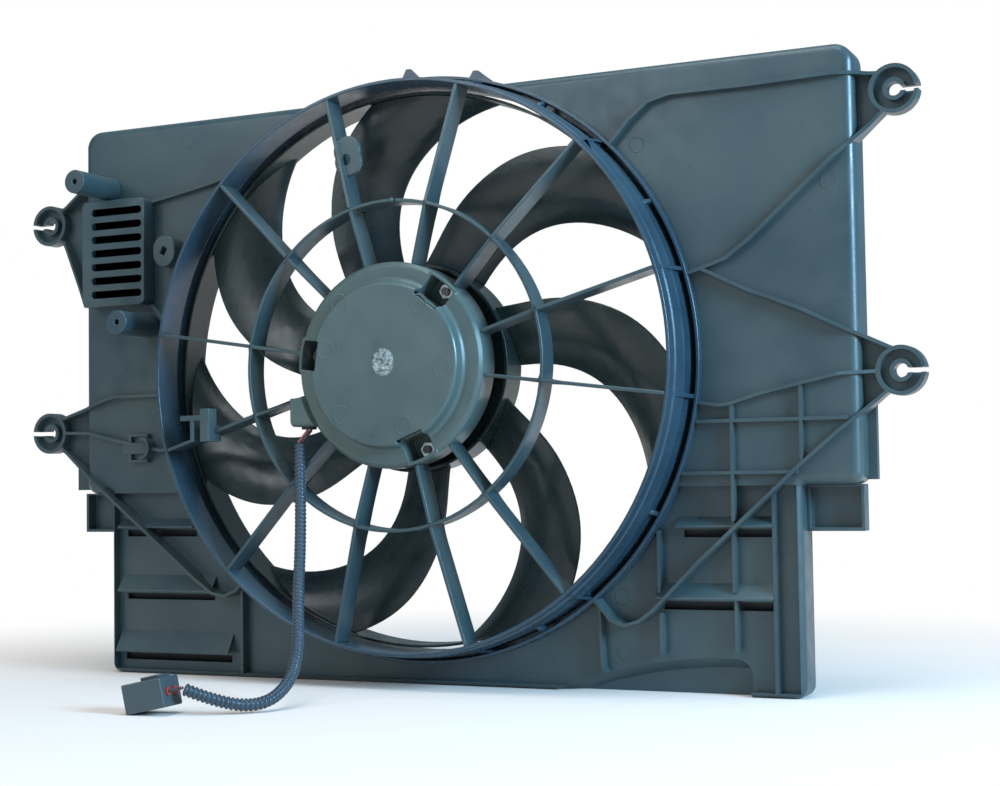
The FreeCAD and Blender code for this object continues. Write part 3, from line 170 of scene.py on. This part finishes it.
# %% [markdown]
# The shroud is glass-filled nylon: dark slate, satin, with a faint mottling and a dusty film on what faces
# up. A flat colour looks like a toy, so a soft noise mixes two close tones, and a finer one breaks up the
# gloss. The film is mixed in by the normal's upward part, which is cheaper than painting it.

# %% A mottled, dusty plastic
GLOSS_SCALE = 55.0
GRAIN_SCALE = 700.0
GRAIN_HEIGHT = 0.0004


def plastic(name, low, high, dust, rough, dusty=0.25, bump=0.12, patch=14.0):
    """Satin plastic in two tones, with dust on what faces up and a fine grain."""
    material, nodes, links, surface, place = shader(name)
    tone = ramp(nodes, links, noise(nodes, links, place, patch, 4.0), low, high, 0.32, 0.68)
    normal = nodes.new("ShaderNodeNewGeometry").outputs["Normal"]
    split = nodes.new("ShaderNodeSeparateXYZ")
    links.new(normal, split.inputs["Vector"])
    up = nodes.new("ShaderNodeMapRange")
    up.inputs["From Min"].default_value = 0.2
    up.inputs["From Max"].default_value = 1.0
    up.inputs["To Max"].default_value = dusty
    links.new(split.outputs["Z"], up.inputs["Value"])
    film = nodes.new("ShaderNodeRGB")
    film.outputs[0].default_value = (*dust, 1)
    links.new(mixed(nodes, links, up.outputs["Result"], tone, film.outputs[0]), surface.inputs["Base Color"])
    gloss = noise(nodes, links, place, GLOSS_SCALE)
    links.new(spread(nodes, links, gloss, rough - 0.07, rough + 0.09), surface.inputs["Roughness"])
    grain = nodes.new("ShaderNodeBump")
    grain.inputs["Strength"].default_value = bump
    grain.inputs["Distance"].default_value = GRAIN_HEIGHT
    links.new(noise(nodes, links, place, GRAIN_SCALE, 2.0), grain.inputs["Height"])
    links.new(grain.outputs["Normal"], surface.inputs["Normal"])
    return material


SLATE = plastic("slate_shroud_plastic", (0.024, 0.050, 0.064), (0.046, 0.076, 0.082),
                (0.11, 0.15, 0.16), 0.34)
# Painted shade: the ring is the shroud's plastic, but its two tones are darker and bluer, for the dark blue
# of its walls in shadow.
RING_SLATE_PAINTED_SHADE = plastic("ring_plastic", (0.014, 0.036, 0.058), (0.028, 0.060, 0.086),
                     (0.10, 0.15, 0.18), 0.27)
BLADE = plastic("fan_blade_plastic", (0.007, 0.016, 0.022), (0.022, 0.038, 0.036),
                (0.06, 0.09, 0.08), 0.27, dusty=0.15, bump=0.05, patch=5.0)
DISC = plastic("motor_cup_plastic", (0.050, 0.086, 0.090), (0.078, 0.116, 0.112),
               (0.18, 0.21, 0.20), 0.33)
TORN = plastic("torn_plastic", (0.020, 0.034, 0.036), (0.42, 0.50, 0.50),
               (0.3, 0.36, 0.36), 0.3, dusty=0.0, bump=0.3, patch=420.0)
PLUG_GREY = plastic("plug_plastic", (0.040, 0.060, 0.072), (0.060, 0.084, 0.096),
                    (0.16, 0.18, 0.19), 0.35)
print("plastics made")

# %% [markdown]
# Metal, rubber and wire need less: one base colour, a fine noise in the roughness and, for metal, full
# metallic. Wound copper and stacked sheets get a wave pattern, because their lines are what is seen.

# %% Metals, rubber, wire and magnet
WEAR_SCALE = 90.0
WEAR = 0.06


def plain(name, colour, rough, metallic=0.0):
    """One colour with slightly uneven gloss."""
    material, nodes, links, surface, place = shader(name)
    surface.inputs["Metallic"].default_value = metallic
    value = noise(nodes, links, place, WEAR_SCALE)
    low = tuple(c * 0.85 for c in colour)
    links.new(ramp(nodes, links, value, low, colour, 0.3, 0.7), surface.inputs["Base Color"])
    links.new(spread(nodes, links, value, rough - WEAR, rough + WEAR), surface.inputs["Roughness"])
    return material


def lined(name, low, high, direction, scale, rough):
    """Metal with fine parallel lines, as on stacked sheets or wound wire."""
    material, nodes, links, surface, place = shader(name)
    wave = nodes.new("ShaderNodeTexWave")
    wave.bands_direction = direction
    wave.inputs["Scale"].default_value = scale
    links.new(place, wave.inputs["Vector"])
    links.new(ramp(nodes, links, wave.outputs["Fac"], low, high, 0.2, 0.8), surface.inputs["Base Color"])
    surface.inputs["Roughness"].default_value = rough
    surface.inputs["Metallic"].default_value = 1.0
    return material


BRIGHT = plain("bright_plated_steel", (0.72, 0.72, 0.71), 0.2, 1.0)
STUD = plain("stud_steel", (0.10, 0.10, 0.11), 0.5, 1.0)
ZINC = plain("zinc_plated_steel", (0.50, 0.52, 0.53), 0.38, 1.0)
GROUND = plain("ground_steel", (0.60, 0.60, 0.61), 0.24, 1.0)
BRONZE = plain("sintered_bronze", (0.42, 0.30, 0.17), 0.5, 1.0)
FERRITE = plain("ferrite", (0.045, 0.045, 0.05), 0.55)
CARBON = plain("pressed_carbon", (0.02, 0.02, 0.02), 0.6)
PHENOLIC = plain("brush_card_plastic", (0.12, 0.05, 0.025), 0.5)
RUBBER = plain("black_rubber", (0.012, 0.013, 0.015), 0.62)
SEAL = plain("seal_rubber", (0.30, 0.05, 0.035), 0.5)
TIN = plain("tinned_brass", (0.62, 0.58, 0.48), 0.3, 1.0)
CONDUIT = plain("conduit_plastic", (0.036, 0.062, 0.088), 0.2)
PINK_WIRE = plain("pink_wire_sleeve", (0.46, 0.14, 0.14), 0.4)
DARK_WIRE = plain("dark_wire_sleeve", (0.04, 0.035, 0.05), 0.4)
STEEL_SHEETS = lined("stacked_laminations", (0.12, 0.12, 0.13), (0.34, 0.34, 0.35), "Y", 160.0, 0.4)
COPPER = lined("enamelled_copper", (0.28, 0.10, 0.03), (0.62, 0.28, 0.10), "DIAGONAL", 90.0, 0.32)
print("metals, rubbers and wires made")

# %% [markdown]
# ## The harness comes first
# The conduit leaves the motor's lead exit, hangs in front of the fan, turns on the floor and rises to the
# plug. Its route is one smooth curve, and a length and points are read back from it, for the tube to follow.

# %% The conduit's route
CONDUIT_R = 0.00425
CONDUIT_ROUTE = [at(*point) for point in (
    (-77.0, -6.5, -56.5), (-72.0, -15.0, -83.0), (-66.0, -24.5, -109.0), (-60.0, -35.5, -135.0),
    (-54.0, -48.0, -160.0), (-46.0, -61.5, -183.0), (-36.0, -79.0, -204.0), (-29.0, -102.0, -221.5),
    (-33.0, -127.0, -232.4), (-53.0, -146.5, -230.0), (-76.5, -156.5, -219.7))]


def shown(obj):
    """Put a new object into the scene."""
    bpy.context.scene.collection.objects.link(obj)
    return obj


def route_curve(name, points):
    """A smooth NURBS curve with the route's points as its control points."""
    data = bpy.data.curves.new(name, "CURVE")
    data.dimensions = "3D"
    data.use_path = True
    spline = data.splines.new("NURBS")
    spline.points.add(len(points) - 1)
    for control, point in zip(spline.points, points):
        control.co = (*point, 1)
    spline.order_u = 3
    spline.use_endpoint_u = True
    spline.resolution_u = 16
    return shown(bpy.data.objects.new(name, data))


def followed(curve):
    """The points along a curve and their length, read from the curve itself."""
    bpy.context.view_layer.update()
    line = bpy.data.meshes.new_from_object(curve.evaluated_get(bpy.context.evaluated_depsgraph_get()))
    points = [vertex.co.copy() for vertex in line.vertices]
    bpy.data.meshes.remove(line)
    return points, sum((b - a).length for a, b in zip(points, points[1:]))


conduit_line = route_curve("conduit_line", CONDUIT_ROUTE)
conduit_points, conduit_length = followed(conduit_line)
print(f"conduit is {conduit_length * 1000:.1f} mm long, over {len(conduit_points)} points")

# %% [markdown]
# A curve with a round bevel would be smooth like a hose. Real conduit is blow-moulded with a rib every 3 mm,
# so one straight tube is spun round the X axis from a line that steps in and out, and a Curve modifier lays
# it along the route. The result is baked into the mesh, so that the finished piece sits at the origin.

# %% The ribbed tube, spun and laid along the route
RIB_PITCH = 0.00315
GROOVE_DEPTH = 0.0009
RIB_SHAPE = ((0.0, 1.0), (0.12, 0.35), (0.22, 0.0), (0.58, 0.0), (0.68, 0.35), (0.80, 1.0))
TUBE_STEPS = 20


def finished(name, bm, material, body, smooth_below=40.0):
    """Make a piece of a bmesh: smooth shading with sharp corners, its material and body."""
    mesh = bpy.data.meshes.new(name)
    bm.to_mesh(mesh)
    bm.free()
    mesh.materials.append(material)
    piece = shown(bpy.data.objects.new(name, mesh))
    mesh.shade_smooth()
    mesh.set_sharp_from_angle(angle=math.radians(smooth_below))
    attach(piece, body)
    return piece


def baked(piece):
    """Replace a piece's mesh by what its modifiers make of it."""
    bpy.context.view_layer.update()
    done = bpy.data.meshes.new_from_object(piece.evaluated_get(bpy.context.evaluated_depsgraph_get()))
    piece.modifiers.clear()
    piece.data = done
    return piece


def ribbed_tube(length, radius):
    """A straight corrugated tube along X."""
    bm = bmesh.new()
    ribs = round(length / RIB_PITCH)
    pitch = length / ribs
    line = [bm.verts.new(((rib + share) * pitch, radius - GROOVE_DEPTH * depth, 0))
            for rib in range(ribs) for share, depth in RIB_SHAPE]
    edges = [bm.edges.new(pair) for pair in zip(line, line[1:])]
    bmesh.ops.spin(bm, geom=line + edges, cent=(0, 0, 0), axis=(1, 0, 0), angle=math.tau, steps=TUBE_STEPS,
                   use_merge=True)
    bmesh.ops.holes_fill(bm, edges=[edge for edge in bm.edges if edge.is_boundary], sides=0)
    bmesh.ops.recalc_face_normals(bm, faces=bm.faces)
    return bm


straight_tube = ribbed_tube(conduit_length, CONDUIT_R)
conduit = finished("conduit", straight_tube, CONDUIT, "shroud", smooth_below=75.0)
bend = conduit.modifiers.new("bend", "CURVE")
bend.object = conduit_line
bend.deform_axis = "POS_X"
baked(conduit)
bpy.data.objects.remove(conduit_line)
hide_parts("harness_conduit")
print("conduit faces", len(conduit.data.polygons))

# %% [markdown]
# ## Rounded edges on the mouldings
# Every moulded edge has a small radius, and it is this that catches the light and draws the thin pale lines
# on the real part. A CAD piece arrives as loose triangles, so a copy is welded first, and the edges that
# cross its flats are dissolved.

# %% Welded copies of CAD pieces
WELD_DISTANCE = 0.000002
FLAT_ANGLE = math.radians(0.4)


def merged_copy(node):
    """The CAD node's mesh as a welded bmesh without the needless edges on its flats."""
    bm = bmesh.new()
    bm.from_mesh(frame["nodes"][node].data)
    bmesh.ops.remove_doubles(bm, verts=bm.verts, dist=WELD_DISTANCE)
    bmesh.ops.dissolve_limit(bm, angle_limit=FLAT_ANGLE, verts=bm.verts, edges=bm.edges)
    return bm


cup_copy = merged_copy("motor_cup")
cup_triangles = len(frame["nodes"]["motor_cup"].data.polygons)
print("motor_cup", cup_triangles, "triangles become", len(cup_copy.faces), "faces")
cup_copy.free()

# %% [markdown]
# A Bevel modifier then rounds only the sharp edges. Some mouldings are split in the CAD model so that their
# collision shapes stay simple. Those touch face to face, so a Boolean union joins them again, and no seam
# shows. A union leaves slivers along its seams, on which a bevel grows spikes, so they are welded away first.

# %% One rounded piece for one or more CAD pieces
SEAM_WELD = 0.0001
SEAM_FLAT_ANGLE = math.radians(1.0)
SHARP_ANGLE = 32.0


def union(piece, node):
    """Join a CAD node's welded copy to a piece."""
    bm = merged_copy(node)
    mesh = bpy.data.meshes.new(node + "_part")
    bm.to_mesh(mesh)
    bm.free()
    other = shown(bpy.data.objects.new(node + "_part", mesh))
    weld = piece.modifiers.new("weld", "BOOLEAN")
    weld.operation = "UNION"
    weld.solver = "EXACT"
    weld.object = other
    baked(piece)
    bpy.data.objects.remove(other)


def seams_welded(piece):
    """Weld the slivers that a union leaves along its seams, and mark the sharp edges again."""
    bm = bmesh.new()
    bm.from_mesh(piece.data)
    bmesh.ops.remove_doubles(bm, verts=bm.verts, dist=SEAM_WELD)
    bmesh.ops.dissolve_degenerate(bm, edges=bm.edges, dist=SEAM_WELD)
    bmesh.ops.dissolve_limit(bm, angle_limit=SEAM_FLAT_ANGLE, verts=bm.verts, edges=bm.edges)
    bm.to_mesh(piece.data)
    bm.free()
    piece.data.shade_smooth()
    piece.data.set_sharp_from_angle(angle=math.radians(SHARP_ANGLE))


def rounded(name, nodes, width, material):
    """One piece that stands for one or more CAD nodes, with a small radius on its edges."""
    body = frame["nodes"][nodes[0]].parent.name.removeprefix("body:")
    piece = finished(name, merged_copy(nodes[0]), material, body, SHARP_ANGLE)
    for node in nodes[1:]:
        union(piece, node)
    if len(nodes) > 1:
        seams_welded(piece)
    edge = piece.modifiers.new("edge", "BEVEL")
    edge.limit_method = "ANGLE"
    edge.angle_limit = math.radians(SHARP_ANGLE)
    edge.width = width
    edge.segments = 2
    edge.use_clamp_overlap = len(nodes) > 1
    edge.miter_outer = "MITER_ARC"
    even = piece.modifiers.new("even", "WEIGHTED_NORMAL")
    even.keep_sharp = True
    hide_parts(*nodes)
    print(name, "has", len(piece.data.polygons), "faces")


PANEL_NODES = ["upper_sheets", "lower_sheet", "panel_walls", "side_flanges"]
rounded("shroud_panel", PANEL_NODES, 0.0006, SLATE)
rounded("ribs_and_ears", ["bolt_ears", "panel_ribs"], 0.0005, SLATE)

# %% [markdown]
# The other mouldings are one CAD piece each, so a table gives each its edge radius and its material. Thin
# clips have smaller radii than the ring and the cup, as on the real part, where the steel mould sets them.

# %% The other mouldings
MOULDINGS = {
    "side_pockets": (0.0004, SLATE, "shroud_plastic"), "ring_lip": (0.0006, RING_SLATE_PAINTED_SHADE, "shroud_plastic"),
    "louvre_hoods": (0.0004, SLATE, "shroud_plastic"), "vent_grille": (0.0006, SLATE, "shroud_plastic"),
    "screw_posts": (0.0007, SLATE, "shroud_plastic"), "fan_ring": (0.0006, RING_SLATE_PAINTED_SHADE, "shroud_plastic"),
    "stator_arms": (0.0006, SLATE, "shroud_plastic"), "motor_cup": (0.0007, DISC, "shroud_plastic"),
    "harness_clip": (0.0004, SLATE, "shroud_plastic"), "rib_clip": (0.0003, SLATE, "shroud_plastic"),
    "fan_hub": (0.0005, BLADE, "fan_plastic"), "fan_blades": (0.0005, BLADE, "fan_plastic"),
    "fan_band": (0.0005, BLADE, "fan_plastic"), "plug_housing": (0.0004, PLUG_GREY, "plug_plastic"),
    "plug_lock": (0.0004, PLUG_GREY, "plug_plastic"),
}
for node, (width, material, slot) in MOULDINGS.items():
    rounded(node + "_finished", [node], width, material)

# %% [markdown]
# Two kinds of mark tell that this is a moulding. Ejector pins leave shallow rings, and the plastic was fed in
# at the middle of the cup, where the sprue broke off and left a rough scar. They are tiny, so they are laid
# on the surface as their own thin meshes: cutting them into the big pieces would upset those smooth faces.

# %% Ejector marks and the sprue's scar
CUP_FRONT_Y = -19.5
MARK_SHAPE = ((-0.0006, -0.0001), (-0.0002, 0.00022), (0.0002, 0.00022), (0.0006, -0.0001))
MARK_STEPS = 28
CUP_MARK_R = 0.0064
PANEL_MARK_R = 0.0056
CUP_MARKS = ((-34.9, 46.2), (30.1, 42.5), (-47.1, 12.3), (47.9, -4.1), (-34.2, -35.7), (16.8, -44.4))
PANEL_MARKS = ((-211, 45, 194), (313, 45, 116), (175, 45, 154), (155, 53, -170), (156, 53, -209))
SCAR_R = 0.0095
SCAR_RISE = 0.0011
SCAR_GRID = 44


def mould_marks(name, places, radius, material):
    """Shallow rings that the ejector pins leave, all in one mesh."""
    bm = bmesh.new()
    for centre in places:
        line = [bm.verts.new(centre + Vector((radius + across, -lift, 0))) for across, lift in MARK_SHAPE]
        edges = [bm.edges.new(pair) for pair in zip(line, line[1:] + line[:1])]
        bmesh.ops.spin(bm, geom=line + edges, cent=centre, axis=(0, 1, 0), angle=math.tau, steps=MARK_STEPS,
                       use_merge=True)
    bmesh.ops.recalc_face_normals(bm, faces=bm.faces)
    finished(name, bm, material, "shroud")


def sprue_scar():
    """A rough little mound where the sprue broke off."""
    bm = bmesh.new()
    bmesh.ops.create_grid(bm, x_segments=SCAR_GRID, y_segments=SCAR_GRID, size=SCAR_R)
    middle = at(1.1, CUP_FRONT_Y, 1.5)
    for vert in bm.verts:
        share = max(0.0, 1.0 - vert.co.length / SCAR_R)
        rough = field.turbulence(vert.co * 900, 3, True)
        height = SCAR_RISE * min(1.0, 2.5 * share) * rough - 0.00008
        vert.co = middle + Vector((vert.co.x, -height, vert.co.y * 1.15))
    finished("sprue_scar", bm, TORN, "shroud", smooth_below=60.0)


mould_marks("cup_marks", [at(x, CUP_FRONT_Y, z) for x, z in CUP_MARKS], CUP_MARK_R, DISC)
mould_marks("panel_marks", [at(*place) for place in PANEL_MARKS], PANEL_MARK_R, SLATE)
sprue_scar()
print("marks on the cup", len(CUP_MARKS), "and on the panel", len(PANEL_MARKS))

# %% [markdown]
# The CAD pieces that are right as they stand only need their finish. Assigning the material to the object's
# slot keeps the mesh as it is, while a copy would only add data.

# %% Finishes for the CAD pieces that stay
KEPT = {
    "motor_flange": ZINC, "motor_can": ZINC, "motor_end_plate": ZINC, "front_bush": BRONZE,
    "rear_bush": BRONZE, "motor_magnets": FERRITE, "armature_core": STEEL_SHEETS,
    "armature_windings": COPPER, "commutator": COPPER, "motor_shaft": GROUND, "brush_card": PHENOLIC,
    "lower_brush": CARBON, "upper_brush": CARBON, "lower_brush_spring": GROUND,
    "upper_brush_spring": GROUND, "motor_studs": STUD, "motor_nuts": BRIGHT, "fan_nut": BRIGHT,
    "lead_grommet": RUBBER, "louvre_flaps": RUBBER, "plug_seals": SEAL, "plug_terminals": TIN,
}


def paint(node, material):
    """Give a CAD node one finish."""
    obj = frame["nodes"][node]
    if not obj.data.materials:
        obj.data.materials.append(material)
    for holder in obj.material_slots:
        holder.link = "OBJECT"
        holder.material = material


for node, material in KEPT.items():
    paint(node, material)
print("finishes on", len(KEPT), "CAD pieces")

# %% [markdown]
# The two leads of each pair have their own colours. They don't touch, so a walk from face to face over their
# shared edges reaches one lead only, and that one takes the second material.

# %% Leads in two colours
def two_leads(node):
    """A copy of a pair of leads in which one lead has the second colour."""
    bm = merged_copy(node)
    bm.faces.ensure_lookup_table()
    todo = [bm.faces[0]]
    while todo:
        face = todo.pop()
        face.material_index = 1
        todo += [other for edge in face.edges for other in edge.link_faces if other.material_index == 0]
    piece = finished(node + "_finished", bm, PINK_WIRE, "shroud")
    piece.data.materials.append(DARK_WIRE)
    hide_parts(node)


two_leads("motor_leads")
two_leads("plug_leads")

# %% [markdown]
# ## Floor, background and light
# The photograph is cut out on white with a soft grey shadow at the foot. The floor near the object is a plain
# surface that keeps the shadow, and it fades into a white glow with distance, so that no horizon shows. The
# lamps are bluish, so the floor is warm by as much, and its shadow comes out grey.

# %% Floor that fades to white
FLOOR_WARMTH = (0.96, 0.82, 0.76, 1)
FADE_START = 0.25
FADE_END = 0.85


def floor_material():
    """White near the object, glowing white further out."""
    material, nodes, links, surface, place = shader("studio_floor")
    surface.inputs["Base Color"].default_value = FLOOR_WARMTH
    surface.inputs["Roughness"].default_value = 0.9
    glow = nodes.new("ShaderNodeEmission")
    glow.inputs["Strength"].default_value = 1.0
    distance = nodes.new("ShaderNodeVectorMath")
    distance.operation = "LENGTH"
    links.new(place, distance.inputs[0])
    fade = nodes.new("ShaderNodeMapRange")
    fade.interpolation_type = "SMOOTHSTEP"
    fade.inputs["From Min"].default_value = FADE_START
    fade.inputs["From Max"].default_value = FADE_END
    links.new(distance.outputs["Value"], fade.inputs["Value"])
    both = nodes.new("ShaderNodeMixShader")
    links.new(fade.outputs["Result"], both.inputs["Fac"])
    links.new(surface.outputs["BSDF"], both.inputs[1])
    links.new(glow.outputs["Emission"], both.inputs[2])
    links.new(both.outputs["Shader"], nodes["Material Output"].inputs["Surface"])
    return material


bm = bmesh.new()
bmesh.ops.create_grid(bm, x_segments=1, y_segments=1, size=6)
floor_mesh = bpy.data.meshes.new("floor")
bm.to_mesh(floor_mesh)
bm.free()
floor_mesh.materials.append(floor_material())
floor = shown(bpy.data.objects.new("floor", floor_mesh))
print("floor made")

# %% [markdown]
# The world shows white to the camera but lights the object dimly and bluish, because a white world as bright
# as it looks would wash the dark plastic out. The lamps are large and soft. The one on the right is the
# smallest and bluest: it draws the bright lines down the right side of the ring, the cup and the panel.

# %% World and lamps
SKY_TINT = (0.66, 0.88, 1.0, 1)
SKY_STRENGTH = 0.34
world = bpy.data.worlds.new("studio")
bpy.context.scene.world = world
world.use_nodes = True
world_nodes, world_links = world.node_tree.nodes, world.node_tree.links
rays = world_nodes.new("ShaderNodeLightPath")
seen = world_nodes.new("ShaderNodeMath")
seen.operation = "MAXIMUM"
world_links.new(rays.outputs["Is Camera Ray"], seen.inputs[0])
world_links.new(rays.outputs["Is Transmission Ray"], seen.inputs[1])
strength = world_nodes.new("ShaderNodeMapRange")
strength.inputs["To Min"].default_value = SKY_STRENGTH
strength.inputs["To Max"].default_value = 1.0
world_links.new(seen.outputs[0], strength.inputs["Value"])
tint, white = world_nodes.new("ShaderNodeRGB"), world_nodes.new("ShaderNodeRGB")
tint.outputs[0].default_value = SKY_TINT
white.outputs[0].default_value = (1, 1, 1, 1)
world_links.new(mixed(world_nodes, world_links, seen.outputs[0], tint.outputs[0], white.outputs[0]),
                world_nodes["Background"].inputs["Color"])
world_links.new(strength.outputs["Result"], world_nodes["Background"].inputs["Strength"])


def softbox(name, place, aim, size, energy, colour):
    """A large square lamp aimed at a point."""
    data = bpy.data.lights.new(name, "AREA")
    data.size = size
    data.energy = energy
    data.color = colour
    lamp = shown(bpy.data.objects.new(name, data))
    lamp.matrix_world = Matrix.Translation(place) @ (place - aim).to_track_quat("Z", "Y").to_matrix().to_4x4()


MIDDLE = at(0, 20, 0)
softbox("left_window", Vector((-0.9, -1.9, 1.3)), MIDDLE, 1.1, 15.0, (0.90, 0.97, 1.0))
softbox("right_window", Vector((1.9, -0.5, 0.8)), MIDDLE, 0.6, 66.0, (0.40, 0.72, 1.0))
softbox("ceiling", Vector((0.1, -0.5, 2.1)), MIDDLE, 1.3, 20.0, (0.95, 1.0, 1.0))
